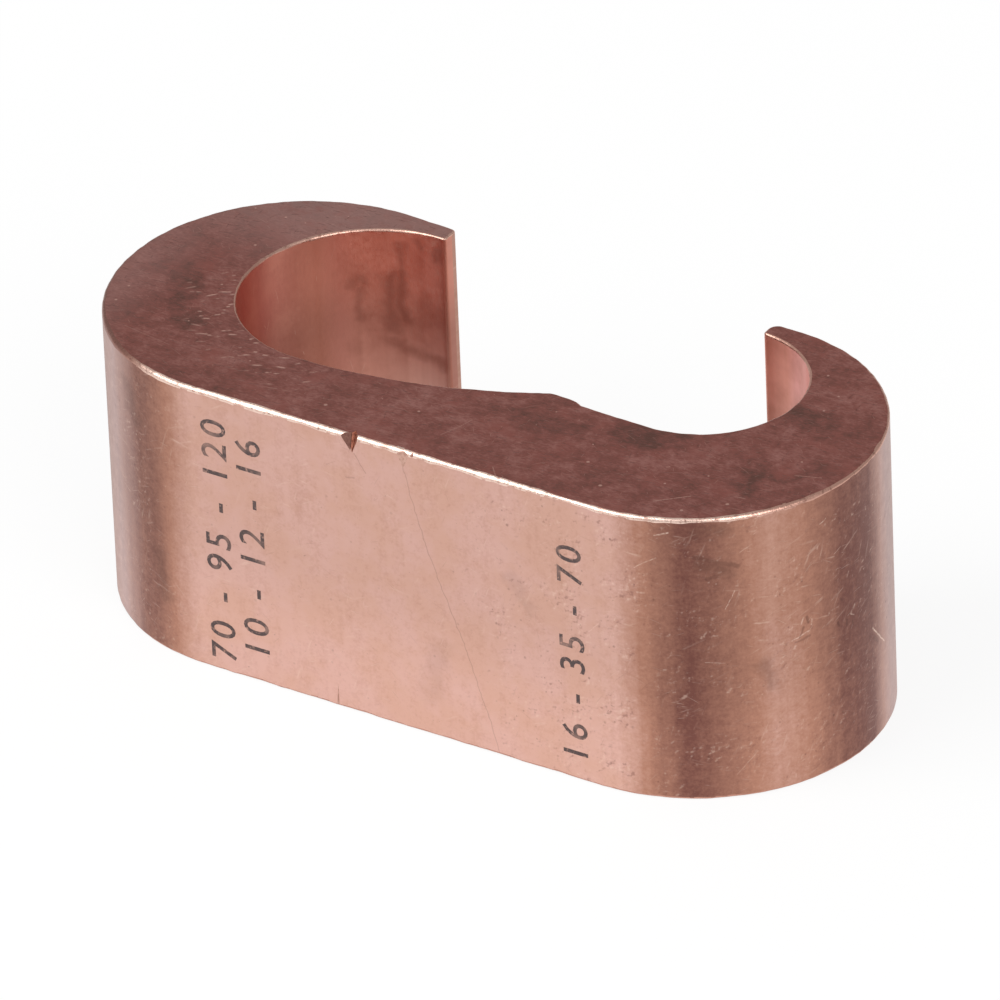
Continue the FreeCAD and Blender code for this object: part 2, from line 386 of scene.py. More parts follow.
def make_connector():
    """The E section, extruded to its length, with both sawn ends worn and nicked."""
    select_none()
    piece = draw_section()
    bpy.ops.mesh.extrude_region_move(TRANSFORM_OT_translate={"value": (0, 0, HEIGHT * MM)})
    bpy.ops.mesh.select_all(action="SELECT")
    bpy.ops.mesh.normals_make_consistent(inside=False)
    bpy.ops.object.mode_set(mode="OBJECT")
    piece.name = "connector"
    piece.data.name = "connector"
    piece.data.transform(piece.matrix_world)
    piece.matrix_world = Matrix.Identity(4)
    round_rims(piece)
    wear_rims(piece)
    roughen_rims(piece)
    for finish in FINISHES:
        piece.data.materials.append(bpy.data.materials[finish])
    for face in piece.data.polygons:
        face.material_index = FINISHES.index(finish_of(face))
    for nick in NICKS:
        cut_nick(piece, *nick)
    make_active(piece)
    bpy.ops.object.shade_smooth_by_angle(angle=radians(SHARP_ANGLE))
    apply_modifier(piece, "WEIGHTED_NORMAL", "FlatFaces", keep_sharp=True, weight=FLAT_FACE_WEIGHT)
    return piece


# Plain numbers for print: the text, the x of its foot line, the z where it starts and the size
# of its letters, in millimetres.
SIZE_MARKS = (
    ("70 - 95 - 120", -11.5, 0.7, 2.5),
    ("10 - 12 - 16", -9.1, 1.6, 2.5),
    ("16 - 35 - 70", 13.1, 1.2, 2.45))

# How far the ink stands out, in millimetres, and how far it spreads, as a share of the size.
INK_THICKNESS = 0.006
INK_SPREAD = 0.004
LETTER_SPACING = 1.24
LETTER_CURVE_STEPS = 4


def make_size_mark(number, text, foot_x, start_z, size):
    """Numbers that read upwards on the flat front, as thin as ink."""
    select_none()
    bpy.ops.object.text_add()
    mark = bpy.context.active_object
    mark.data.body = text
    mark.data.size = size * MM
    mark.data.offset = INK_SPREAD * size * MM
    mark.data.extrude = INK_THICKNESS * MM
    mark.data.space_character = LETTER_SPACING
    mark.data.resolution_u = LETTER_CURVE_STEPS
    bpy.ops.object.convert(target="MESH")
    mark = bpy.context.active_object
    mark.name = "size_mark_%d" % number
    mark.data.name = mark.name
    mark.matrix_world = Matrix((
        (0, -1, 0, foot_x * MM),
        (0, 0, -1, FRONT * MM),
        (1, 0, 0, start_z * MM),
        (0, 0, 0, 1)))
    mark.data.transform(mark.matrix_world)
    mark.matrix_world = Matrix.Identity(4)
    mark.data.materials.append(bpy.data.materials["faded_ink"])
    return mark


def add_node(tree, kind, inputs=None, **settings):
    """Add a node, with its settings, and with a value or a link for each named input."""
    node = tree.nodes.new(kind)
    for key, value in settings.items():
        setattr(node, key, value)
    for key, value in (inputs or {}).items():
        if isinstance(value, bpy.types.NodeSocket):
            tree.links.new(value, node.inputs[key])
        else:
            node.inputs[key].default_value = value
    return node


def maths(tree, operation, *values, clamp=False):
    inputs = dict(enumerate(values))
    return add_node(tree, "ShaderNodeMath", inputs, operation=operation, use_clamp=clamp).outputs[0]


def product(tree, first, *others):
    for other in others:
        first = maths(tree, "MULTIPLY", first, other)
    return first


def strongest(tree, first, *others):
    for other in others:
        first = maths(tree, "MAXIMUM", first, other)
    return first


def vector_maths(tree, operation, *values):
    return add_node(tree, "ShaderNodeVectorMath", dict(enumerate(values)), operation=operation)


def scaled(tree, vector, factor):
    inputs = {0: vector, "Scale": factor}
    return add_node(tree, "ShaderNodeVectorMath", inputs, operation="SCALE").outputs[0]


def fade(tree, value, nothing, full, low=0.0, high=1.0):
    """Goes smoothly from low, where the value is at nothing, to high, where it is at full."""
    inputs = {"Value": value, "From Min": nothing, "From Max": full, "To Min": low, "To Max": high}
    return add_node(tree, "ShaderNodeMapRange", inputs, interpolation_type="SMOOTHSTEP").outputs[0]


def mix(tree, amount, first, second):
    """Mix two colours. A colour is given as a socket or as three numbers."""
    inputs = {0: amount}
    for key, colour in ((6, first), (7, second)):
        inputs[key] = (*colour, 1) if isinstance(colour, tuple) else colour
    return add_node(tree, "ShaderNodeMix", inputs, data_type="RGBA").outputs[2]


def flat_point(tree, first, second):
    return add_node(tree, "ShaderNodeCombineXYZ", {0: first, 1: second}).outputs[0]


def cloud(tree, point, scale, detail=2.0, stretch=(1, 1, 1)):
    """Soft random tone, from 0 to 1."""
    stretched = vector_maths(tree, "MULTIPLY", point, stretch).outputs[0]
    inputs = {"Vector": stretched, "Scale": scale, "Detail": detail, "Roughness": 0.6}
    return add_node(tree, "ShaderNodeTexNoise", inputs).outputs[0]


def shaken(tree, point, scale, reach):
    """A flat point moved about at random, so that marks drawn on it get uneven edges."""
    inputs = {"Vector": point, "Scale": scale, "Detail": 2.0}
    colour = add_node(tree, "ShaderNodeTexNoise", inputs).outputs["Color"]
    away = vector_maths(tree, "SUBTRACT", colour, (0.5, 0.5, 0.5)).outputs[0]
    away = vector_maths(tree, "MULTIPLY", away, (reach, reach, 0)).outputs[0]
    return vector_maths(tree, "ADD", point, away).outputs[0]


def smears(tree, point, direction, scale, stretch):
    """Soft random tone drawn out along a direction, in degrees on a flat point."""
    inputs = {"Vector": point, "Angle": radians(-direction)}
    turned = add_node(tree, "ShaderNodeVectorRotate", inputs, rotation_type="Z_AXIS").outputs[0]
    return cloud(tree, turned, scale, 3.0, (1 / stretch, 1, 1))


def relief(tree, point, scale):
    """How much small dents catch the light, above 0, or lie in shade, below 0."""
    shifted = vector_maths(tree, "ADD", point, (0.1, -0.1, 0)).outputs[0]
    return maths(tree, "SUBTRACT", cloud(tree, point, scale, 2.0), cloud(tree, shifted, scale, 2.0))


def object_millimetres(tree):
    """The point on the piece, and its x, y and z, in millimetres."""
    place = add_node(tree, "ShaderNodeTexCoord").outputs["Object"]
    point = scaled(tree, place, 1 / MM)
    return (point, *add_node(tree, "ShaderNodeSeparateXYZ", {0: point}).outputs)


def new_group(name, points, numbers):
    """A node group with these inputs, in this order, and one output, Amount."""
    group = bpy.data.node_groups.new(name, "ShaderNodeTree")
    for kind, labels in (("NodeSocketVector", points), ("NodeSocketFloat", numbers)):
        for label in labels:
            group.interface.new_socket(label, in_out="INPUT", socket_type=kind)
    group.interface.new_socket("Amount", in_out="OUTPUT", socket_type="NodeSocketFloat")
    entry = group.nodes.new("NodeGroupInput")
    return group, entry.outputs


def close_group(group, amount):
    leave = group.nodes.new("NodeGroupOutput")
    group.links.new(amount, leave.inputs["Amount"])


def random_net(group, cells):
    """A random net on a flat point, and three chances for each of its cells."""
    inputs = {"Vector": cells, "Scale": 1.0}
    net = add_node(group, "ShaderNodeTexVoronoi", inputs, voronoi_dimensions="2D").outputs
    return net, add_node(group, "ShaderNodeSeparateColor", {0: net["Color"]}).outputs


def make_scratch_group():
    """One short scratch in each cell of a random net, all on a flat point in millimetres."""
    group, given = new_group("short_scratches", ("Point",), (
        "Spacing", "Length", "Width", "Direction", "Spread", "Share", "Seed"))
    cells = scaled(group, given["Point"], maths(group, "DIVIDE", 1.0, given["Spacing"]))
    shift = flat_point(group, given["Seed"], given["Seed"])
    cells = vector_maths(group, "ADD", cells, shift).outputs[0]
    net, chance = random_net(group, cells)
    away = vector_maths(group, "SUBTRACT", cells, net["Position"]).outputs[0]
    away = add_node(group, "ShaderNodeSeparateXYZ", {0: away}).outputs
    swing = product(group, maths(group, "SUBTRACT", chance[0], 0.5), 2.0)
    angle = maths(group, "MULTIPLY_ADD", swing, given["Spread"], given["Direction"])
    angle = maths(group, "RADIANS", angle)
    cosine = maths(group, "COSINE", angle)
    sine = maths(group, "SINE", angle)
    along = maths(group, "ADD", product(group, away[0], cosine), product(group, away[1], sine))
    across = maths(
        group, "SUBTRACT", product(group, away[1], cosine), product(group, away[0], sine))
    bow = product(group, maths(group, "SUBTRACT", chance[2], 0.5), 0.35)
    across = maths(group, "MULTIPLY_ADD", product(group, along, along), bow, across)
    half_width = maths(group, "DIVIDE", product(group, given["Width"], 0.5), given["Spacing"])
    half_length = maths(group, "DIVIDE", product(group, given["Length"], 0.5), given["Spacing"])
    uneven = maths(group, "MULTIPLY_ADD", chance[2], 0.8, 0.2)
    half_length = product(group, half_length, uneven)
    thin = fade(group, maths(group, "ABSOLUTE", across), half_width, 0.0)
    short = fade(
        group, maths(group, "ABSOLUTE", along), half_length, product(group, half_length, 0.3))
    there = maths(group, "LESS_THAN", chance[1], given["Share"])
    close_group(group, product(group, thin, short, there))


def make_stroke_group():
    """A soft straight stroke between two points."""
    group, given = new_group("one_stroke", ("Point", "Start", "End"), ("Width", "Core"))
    from_start = vector_maths(group, "SUBTRACT", given["Point"], given["Start"]).outputs[0]
    run = vector_maths(group, "SUBTRACT", given["End"], given["Start"]).outputs[0]
    reached = vector_maths(group, "DOT_PRODUCT", from_start, run).outputs["Value"]
    whole = vector_maths(group, "DOT_PRODUCT", run, run).outputs["Value"]
    part = maths(group, "DIVIDE", reached, whole)
    part = maths(group, "MINIMUM", maths(group, "MAXIMUM", part, 0.0), 1.0)
    nearest = scaled(group, run, part)
    gap = vector_maths(group, "DISTANCE", from_start, nearest).outputs["Value"]
    core = product(group, given["Width"], given["Core"])
    close_group(group, fade(group, gap, given["Width"], core))


def make_pit_group():
    """Small round pits, one in a share of the cells of a random net."""
    group, given = new_group("small_pits", ("Point",), ("Spacing", "Radius", "Share"))
    cells = scaled(group, given["Point"], maths(group, "DIVIDE", 1.0, given["Spacing"]))
    net, chance = random_net(group, cells)
    edge = maths(group, "DIVIDE", product(group, given["Radius"], chance[0]), given["Spacing"])
    there = maths(group, "LESS_THAN", chance[1], given["Share"])
    spot = fade(group, net["Distance"], edge, product(group, edge, 0.4))
    close_group(group, product(group, spot, there))


def from_group(tree, name, *values):
    """What one of the groups above gives out for these values of its inputs."""
    group = bpy.data.node_groups[name]
    return add_node(tree, "ShaderNodeGroup", dict(enumerate(values)), node_tree=group).outputs[0]


# Sorts of short scratches: spacing, length and width in millimetres, direction and its spread
# in degrees, the share of the net's cells that have one, and the seed.
SCRATCHES = {
    "skin_light": (1.1, 1.2, 0.06, 20.0, 60.0, 0.4, 3.0),
    "skin_dark": (1.5, 1.3, 0.05, 80.0, 90.0, 0.35, 31.0),
    "sawn_dark_along": (0.8, 1.3, 0.12, 8.0, 20.0, 0.85, 5.0),
    "sawn_dark_across": (1.0, 1.3, 0.07, 60.0, 60.0, 0.6, 23.0),
    "sawn_light": (1.3, 1.8, 0.06, 20.0, 50.0, 0.5, 41.0),
    "sawn_light_short": (0.6, 0.7, 0.06, 100.0, 90.0, 0.5, 57.0),
    "chatter": (0.8, 1.3, 0.24, 31.0, 22.0, 0.7, 71.0),
    "groove": (1.6, 1.4, 0.04, 85.0, 30.0, 0.3, 11.0)}


def scratches(tree, point, sort):
    """Short scratches of one sort, on a flat point."""
    return from_group(tree, "short_scratches", point, *SCRATCHES[sort])


def pits(tree, point, spacing, radius, share):
    """Small round pits on a flat point, with lengths in millimetres."""
    return from_group(tree, "small_pits", point, spacing, radius, share)


def strokes(tree, point, paths, core=0.3):
    """The strongest of several strokes. A path is its half width, its strength and its points."""
    total = 0.0
    for half_width, strength, *stops in paths:
        for start, end in zip(stops, stops[1:]):
            ends = ((*start, 0), (*end, 0))
            amount = from_group(tree, "one_stroke", point, *ends, half_width, core)
            total = strongest(tree, total, product(tree, amount, strength))
    return total


def around_middle(tree, tones):
    """Add up random tones, each as it swings about its middle, times its strength."""
    total = 0.0
    for tone, strength in tones:
        total = maths(tree, "MULTIPLY_ADD", maths(tree, "SUBTRACT", tone, 0.5), strength, total)
    return total


def colour_by_place(tree, value, stops):
    """A colour that follows a value through stops of (value, colour)."""
    low = stops[0][0]
    high = stops[-1][0]
    share = maths(tree, "DIVIDE", maths(tree, "SUBTRACT", value, low), high - low)
    node = add_node(tree, "ShaderNodeValToRGB", {0: share})
    ramp = node.color_ramp
    while len(ramp.elements) < len(stops):
        ramp.elements.new(0.5)
    for element, (place, colour) in zip(ramp.elements, stops):
        element.position = (place - low) / (high - low)
        element.color = (*colour, 1)
    return node.outputs[0]


def amount_by_place(tree, value, stops):
    """An amount that follows a value through stops of (value, amount)."""
    greys = [(place, (amount, amount, amount)) for place, amount in stops]
    colour = colour_by_place(tree, value, greys)
    return add_node(tree, "ShaderNodeSeparateColor", {0: colour}).outputs[0]


def new_material(name):
    material = bpy.data.materials.new(name)
    material.use_nodes = True
    return material, material.node_tree, material.node_tree.nodes["Principled BSDF"]


def new_copper(name):
    tree, shader = new_material(name)[1:]
    shader.inputs["Metallic"].default_value = 1.0
    return tree, shader


def finish_with(tree, shader, colour, roughness, height, depth):
    """Feed the shader. Depth is how deep the bump is, in millimetres."""
    inputs = {"Height": height, "Distance": depth * MM, "Strength": 1.0}
    bump = add_node(tree, "ShaderNodeBump", inputs)
    tree.links.new(colour, shader.inputs["Base Color"])
    tree.links.new(roughness, shader.inputs["Roughness"])
    tree.links.new(bump.outputs[0], shader.inputs["Normal"])


# Colours of the metal, and of the painted shade, painted dark reflections and painted pale highlights
# on it.
BRIGHT_COPPER = (0.655, 0.385, 0.303)
PINK_COPPER = (0.685, 0.415, 0.352)
GOLDEN_BROWN = (0.44, 0.215, 0.15)
# This brown is painted shade: the dark reflections in upright bands, and the shaded sides of dents.
PAINTED_SHADE_BROWN = (0.185, 0.075, 0.060)
# This pale colour is a painted highlight from side light.
PAINTED_PALE_HIGHLIGHT = (0.47, 0.315, 0.292)
# The fresh scratch colour also paints the highlights on dents.
FRESH_SCRATCH_AND_DENT_LIGHT = (0.93, 0.70, 0.58)
DIRT = (0.10, 0.045, 0.036)

# How much lighter the skin is at its foot, as painted light.
PAINTED_FOOT_LIGHT = 1.12

# Painted dark reflections and painted pale highlights by the angle of the outside wall, in degrees
# from the flat front.
PAINTED_DARK_BANDS_BY_ANGLE = (
    (-180, 0.45), (-150, 0.7), (-120, 0.35), (-95, 0.75), (-62, 0.95), (-46, 0.55), (-39, 0.0),
    (-31, 0.7), (-25, 0.84), (-17, 0.82), (-10, 0.54), (-4, 0.17), (0, 0.0), (6, 0.03), (18, 0.64),
    (27, 0.98), (36, 0.84), (53, 0.3), (62, 0.46), (80, 0.95), (92, 1.0), (97, 0.75), (103, 0.2),
    (112, 0.5), (125, 0.6), (150, 0.7), (180, 0.45))
PAINTED_HIGHLIGHT_BY_ANGLE = (
    (-180, 0.1), (-100, 0.1), (-75, 0.15), (-50, 0.4), (-38, 1.0), (-23, 0.0), (0, 0.0), (86, 0.0),
    (93, 0.05), (100, 0.5), (107, 1.0), (113, 0.8), (120, 0.5), (150, 0.1), (180, 0.1))

# Marks on the outside, in millimetres along the wall and up: half width, strength, points.
SMUDGES = (
    (0.9, 0.4, (20.8, 15.9), (22.0, 15.6)), (0.8, 0.3, (20.4, 18.4), (22.0, 18.4)),
    (0.9, 0.3, (24.2, 8.6), (24.6, 7.4)), (1.2, 0.3, (-19.5, 17.0), (-18.6, 15.0)),
    (1.0, 0.3, (-17.0, 6.5), (-16.5, 4.0)), (0.9, 0.12, (8.2, 12.6), (9.4, 11.0)),
    (1.4, 0.1, (3.0, 6.0), (2.4, 3.0)))
LONG_SCRATCH = (
    0.05, 0.22, (1.0, 18.0), (1.4, 16.3), (2.5, 12.6), (3.4, 10.3), (4.7, 7.1), (6.3, 2.3), (7.0, 0))
DARK_SCRATCHES = (
    LONG_SCRATCH, (0.24, 0.4, (20.2, 16.6), (22.7, 15.8)), (0.2, 0.35, (20.9, 15.1), (22.2, 15.5)),
    (0.05, 0.25, (-2.4, 18.0), (-1.7, 16.9)), (0.08, 0.2, (-3.0, 16.2), (-2.5, 16.3)),
    (0.15, 0.45, (26.95, 11.2), (27.1, 10.8)), (0.1, 0.35, (26.75, 10.6), (26.45, 10.0)),
    (0.11, 0.3, (26.2, 9.7), (27.2, 9.9)), (0.12, 0.5, (29.35, 9.9), (29.4, 9.6)),
    (0.12, 0.5, (30.1, 9.7), (30.15, 9.4)), (0.1, 0.45, (30.65, 9.35), (30.7, 9.1)),
    (0.12, 0.35, (29.6, 11.4), (29.8, 11.2)), (0.22, 0.3, (33.0, 7.0), (33.4, 6.5)))
FRESH_SCRATCHES = (
    (0.07, 0.7, (17.9, 18.05), (18.7, 18.3)), (0.05, 0.5, (16.6, 15.7), (17.9, 16.5)),
    (0.05, 0.5, (21.9, 12.9), (22.5, 14.2)), (0.05, 0.35, (22.9, 16.7), (23.6, 17.1)),
    (0.06, 0.6, (28.1, 17.1), (28.6, 17.3)), (0.05, 0.4, (29.2, 14.6), (29.7, 14.9)),
    (0.08, 0.9, (32.8, 7.7), (34.4, 5.9)), (0.05, 0.35, (20.6, 9.4), (21.8, 9.3)),
    (0.08, 0.5, (26.75, 11.3), (26.6, 10.9)), (0.08, 0.5, (27.3, 11.0), (27.25, 10.6)),
    (0.08, 0.6, (26.0, 9.9), (27.1, 10.2)), (0.07, 0.5, (30.5, 9.9), (30.75, 9.7)),
    (0.05, 0.3, (22.3, 1.6), (23.6, 3.0)), (0.05, 0.35, (13.4, 10.5), (14.2, 11.3)))

# Worn streaks on the outside: their direction in degrees and how fine they are.
STREAKS = ((25, 2.6), (-10, 3.4), (70, 2.2))


def skin_place(tree, x, y, z):
    """A flat point along the outside wall and up it, and the angle of the wall in degrees."""
    on_spine = maths(tree, "MINIMUM", maths(tree, "MAXIMUM", x, RUN_END[0]), TAP_END[0])
    beyond = maths(tree, "SUBTRACT", x, on_spine)
    turn = maths(tree, "ARCTAN2", beyond, maths(tree, "MULTIPLY", y, -1.0))
    along = maths(tree, "MULTIPLY_ADD", turn, RUN_END_RADIUS, on_spine)
    return flat_point(tree, along, z), maths(tree, "DEGREES", turn)


def skin_with_painted_reflections(tree, skin, angle, z, tones):
    """Bright copper with painted dark reflections in upright bands, painted highlights beside them,
    and painted light at the foot.
    """
    slow = cloud(tree, skin, 0.4, 3.0, (1, 0.2, 1))
    wander = product(tree, maths(tree, "SUBTRACT", slow, 0.5), 7.0)
    angle = maths(tree, "ADD", angle, wander)
    uneven = around_middle(tree, (
        (tones["drawn"], 0.2), (tones["patches"], 0.3), (tones["mottle"], 0.3),
        (tones["grain"], 0.35)))
    # Painted dark reflections in upright bands, by the angle of the wall.
    painted_dark_band = amount_by_place(tree, angle, PAINTED_DARK_BANDS_BY_ANGLE)
    painted_dark_band = maths(tree, "ADD", painted_dark_band, uneven, clamp=True)
    pinkness = fade(tree, cloud(tree, skin, 0.22, 5.0), 0.38, 0.62)
    bright = mix(tree, pinkness, BRIGHT_COPPER, PINK_COPPER)
    brown = colour_by_place(tree, painted_dark_band, ((0, GOLDEN_BROWN), (0.5, GOLDEN_BROWN), (1, PAINTED_SHADE_BROWN)))
    colour = mix(tree, maths(tree, "MULTIPLY", painted_dark_band, 2.0, clamp=True), bright, brown)
    # Painted pale highlights beside the dark bands.
    painted_highlight = amount_by_place(tree, angle, PAINTED_HIGHLIGHT_BY_ANGLE)
    painted_highlight = product(tree, painted_highlight, fade(tree, tones["mottle"], 0.25, 0.6, 0.7, 1.0))
    colour = mix(tree, painted_highlight, colour, PAINTED_PALE_HIGHLIGHT)
    # Painted light: the colour is made lighter towards the foot.
    return scaled(tree, colour, fade(tree, z, 10.0, 3.0, 1.0, PAINTED_FOOT_LIGHT))


def handled_places(tree, skin, x):
    """Where hands and tools have touched: in patches on both ends and most beside the right one."""
    ends = strongest(tree, fade(tree, x, 2.0, 9.0, 0.45, 1.0), fade(tree, x, -13.0, -16.0))
    knocked = product(tree, fade(tree, x, 9.0, 13.0), fade(tree, x, 19.0, 15.5, 0.0, 0.4))
    patchy = fade(tree, cloud(tree, skin, 0.45, 3.0), 0.42, 0.62, 0.25, 1.0)
    return product(tree, maths(tree, "ADD", ends, knocked), patchy)


def rubbed_skin(tree, skin, x, colour, tones):
    """Add fine scratches, worn streaks, specks, and dents painted as highlight and shade on their
    edges. Returns the fine scratches too.
    """
    fine = scratches(tree, skin, "skin_light")
    wear_and_dent_light = fine
    for direction, scale in STREAKS:
        streaks = smears(tree, skin, direction, scale, 7.0)
        wear_and_dent_light = strongest(tree, wear_and_dent_light, fade(tree, streaks, 0.61, 0.76))
    wear_and_dent_light = product(tree, wear_and_dent_light, fade(tree, tones["patches"], 0.42, 0.64, 0.06, 0.28))
    handled = handled_places(tree, skin, x)
    # Dents are painted: a painted highlight on one side of each and painted shade on the other.
    dent_light_and_shade = product(tree, relief(tree, skin, 1.7), handled)
    wear_and_dent_light = strongest(tree, wear_and_dent_light, fade(tree, dent_light_and_shade, 0.04, 0.25, 0.0, 0.28))
    colour = mix(tree, wear_and_dent_light, colour, FRESH_SCRATCH_AND_DENT_LIGHT)
    specks = product(tree, pits(tree, skin, spacing=0.9, radius=0.13, share=0.3), handled, 0.4)
    colour = mix(tree, specks, colour, DIRT)
    colour = mix(tree, fade(tree, dent_light_and_shade, -0.04, -0.25, 0.0, 0.4), colour, PAINTED_SHADE_BROWN)
    return colour, fine


def marked_skin(tree, skin, y, colour, tones):
    """Add dark flaws, and the scratches and smudges that stand out. Returns the flaws too."""
    dark = scratches(tree, skin, "skin_dark")
    pitted = fade(tree, cloud(tree, skin, 2.0, 4.0), 0.69, 0.77)
    pin_holes = fade(tree, cloud(tree, skin, 6.0, 1.0), 0.75, 0.82, 0.0, 0.7)
    flaws = product(tree, strongest(tree, product(tree, dark, 0.4), pitted, pin_holes), 0.45)
    away_from_back = fade(tree, y, 10.0, 8.0)
    bold = strongest(tree, strokes(tree, shaken(tree, skin, 1.2, 0.3), DARK_SCRATCHES),
                     strokes(tree, shaken(tree, skin, 1.0, 1.6), SMUDGES, 0.0))
    dark = strongest(tree, flaws, product(tree, bold, away_from_back))
    colour = mix(tree, dark, colour, DIRT)
    fresh = product(tree, strokes(tree, shaken(tree, skin, 0.9, 0.3), FRESH_SCRATCHES, 0.0),
                    fade(tree, tones["grain"], 0.35, 0.6, 0.15, 0.9), away_from_back)
    return mix(tree, fresh, colour, FRESH_SCRATCH_AND_DENT_LIGHT), flaws


def make_rolled_copper():
    """The outside skin: bright where it is handled, with painted dark reflections in upright bands on
    both ends.
    """
    tree, shader = new_copper("rolled_copper")
    x, y, z = object_millimetres(tree)[1:]
    skin, angle = skin_place(tree, x, y, z)
    tones = {
        "drawn": cloud(tree, skin, 1.6, 3.0, (1, 0.04, 1)),
        "patches": cloud(tree, skin, 0.35, 4.0, (1, 0.35, 1)),
        "mottle": cloud(tree, skin, 1.6, 5.0),
        "grain": cloud(tree, skin, 5.0, 4.0)}
    colour = skin_with_painted_reflections(tree, skin, angle, z, tones)
    colour, fine = rubbed_skin(tree, skin, x, colour, tones)
    colour, flaws = marked_skin(tree, skin, y, colour, tones)
    roughness = fade(tree, tones["mottle"], 0.2, 0.8, 0.34, 0.46)
    height = around_middle(tree, (
        (tones["grain"], 0.9), (tones["drawn"], 0.5), (tones["mottle"], 0.6)))
    height = maths(tree, "SUBTRACT", height, strongest(tree, flaws, product(tree, fine, 0.6)))
    finish_with(tree, shader, colour, roughness, height, 0.014)


# The cut faces' browns are dark oxide, made darker still as a painted dark reflection.
SAWN_LIGHT = (0.50, 0.222, 0.188)
SAWN_BROWN = (0.335, 0.119, 0.096)
SAWN_PALE = (0.52, 0.33, 0.30)
SAWN_DARK = (0.185, 0.082, 0.064)
SAWN_RED = (0.40, 0.135, 0.108)
SAWN_BRIGHT = (0.72, 0.42, 0.35)

# The lower cut face takes its pattern from this far away, in millimetres.
FAR_END_SHIFT = 90.0

# Marks on the sawn faces, in millimetres of x and y: half width, strength, points.
SAW_SCRATCHES = (
    (0.07, 0.9, (16.8, -9.3), (18.4, -7.8)), (0.06, 0.8, (22.5, -2.9), (24.0, -2.4)),
    (0.06, 0.7, (20.7, -6.6), (21.3, -6.5)), (0.06, 0.5, (2.0, -9.0), (2.5, -7.6), (2.7, -6.7)),
    (0.06, 0.6, (6.6, -10.6), (7.3, -11.4)), (0.09, 0.8, (15.5, -5.7), (15.6, -5.6)),
    (0.05, 0.5, (-23.1, -6.6), (-22.1, -6.0)), (0.05, 0.4, (-21.1, -7.5), (-17.5, -8.1)))
DARK_PATCHES = (
    (1.8, 0.32, (11.0, -3.4), (13.8, -3.6)), (1.9, 0.34, (19.0, 2.6), (21.3, 2.6)),
    (1.5, 0.28, (-23.0, 0.6), (-18.0, -4.8)), (1.5, 0.25, (4.0, -4.4), (9.0, -4.6)),
    (1.5, 0.4, (20.5, -5.2), (23.2, -2.2)))
CHATTER_BAND = ((2.8, 1.0, (-18.6, -1.0), (-15.6, -5.4), (-9.6, -7.4)),)


def sawn_colour(tree, point, face, x, y, tones):
    """Uneven brown, with dark patches and red ones, and paler round the large groove."""
    uneven = around_middle(tree, (
        (cloud(tree, face, 0.22, 5.0), 1.3), (tones["mottle"], 1.2), (tones["grain"], 1.0),
        (tones["saw_lines"], 0.5)))
    tone = maths(tree, "ADD", uneven, 0.45)
    patches = strokes(tree, shaken(tree, face, 0.5, 5.0), DARK_PATCHES, 0.0)
    tone = maths(tree, "ADD", tone, patches, clamp=True)
    colour = colour_by_place(tree, tone, ((0, SAWN_LIGHT), (0.5, SAWN_BROWN), (1, SAWN_DARK)))
    redness = fade(tree, cloud(tree, point, 0.5, 3.0), 0.5, 0.72, 0.0, 0.6)
    colour = mix(tree, redness, colour, SAWN_RED)
    pale = product(tree, fade(tree, y, 0.0, 10.0, 0.0, 0.55), fade(tree, x, -3.0, -11.0))
    pale = strongest(tree, pale, fade(tree, x, -20.0, -24.5, 0.0, 0.3))
    pale = product(tree, pale, fade(tree, tones["mottle"], 0.3, 0.55, 0.5, 1.0))
    return mix(tree, pale, colour, SAWN_PALE)


def dark_saw_marks(tree, face, tones):
    """Short dark marks, most of them along the part."""
    along = scratches(tree, face, "sawn_dark_along")
    across = scratches(tree, face, "sawn_dark_across")
    return product(tree, strongest(tree, along, across), fade(tree, tones["grain"], 0.35, 0.6))


def light_saw_marks(tree, face, tones):
    """Fine scratches, a band of chatter marks, fresh specks and a few scratches that stand out."""
    fine = strongest(
        tree, scratches(tree, face, "sawn_light"), scratches(tree, face, "sawn_light_short"))
    fine = product(tree, fine, fade(tree, tones["mottle"], 0.38, 0.6, 0.08, 0.36))
    chatter = product(
        tree, scratches(tree, face, "chatter"), strokes(tree, face, CHATTER_BAND, 0.2),
        fade(tree, cloud(tree, face, 1.3), 0.42, 0.55, 0.1, 1.0))
    specks = product(tree, pits(tree, face, spacing=1.9, radius=0.16, share=0.25), 0.8)
    bold = product(tree, strokes(tree, face, SAW_SCRATCHES, 0.0),
                   fade(tree, tones["grain"], 0.35, 0.6, 0.2, 0.9))
    return strongest(tree, fine, chatter, specks, bold)


def make_sawn_copper():
    """The two cut ends: oxide brown darkened further as a painted dark reflection, with saw marks
    mostly along the part and bright fresh specks.
    """
    tree, shader = new_copper("sawn_copper")
    point, x, y, z = object_millimetres(tree)
    far_end = fade(tree, z, 2.0, 1.0, 0.0, FAR_END_SHIFT)
    face = flat_point(tree, x, maths(tree, "ADD", y, far_end))
    tones = {
        "mottle": cloud(tree, face, 1.1, 5.0),
        "grain": cloud(tree, face, 5.0, 4.0, (0.7, 1.4, 1)),
        "saw_lines": cloud(tree, face, 2.6, 4.0, (0.2, 1.3, 1))}
    colour = sawn_colour(tree, point, face, x, y, tones)
    dark = dark_saw_marks(tree, face, tones)
    colour = mix(tree, product(tree, dark, 0.75), colour, SAWN_DARK)
    light = light_saw_marks(tree, face, tones)
    colour = mix(tree, light, colour, SAWN_BRIGHT)
    roughness = fade(tree, tones["mottle"], 0.2, 0.8, 0.40, 0.52)
    height = around_middle(tree, ((tones["grain"], 1.0), (tones["saw_lines"], 0.8)))
    height = maths(tree, "SUBTRACT", height, strongest(tree, dark, light))
    finish_with(tree, shader, colour, roughness, height, 0.018)


RIM_BRIGHT = (0.90, 0.66, 0.56)
# The dull and tarnished rim colours also paint shade where the rims catch no light.
RIM_DULL_AND_SHADED = (0.56, 0.28, 0.21)
RIM_TARNISH_AND_SHADE = (0.30, 0.14, 0.11)


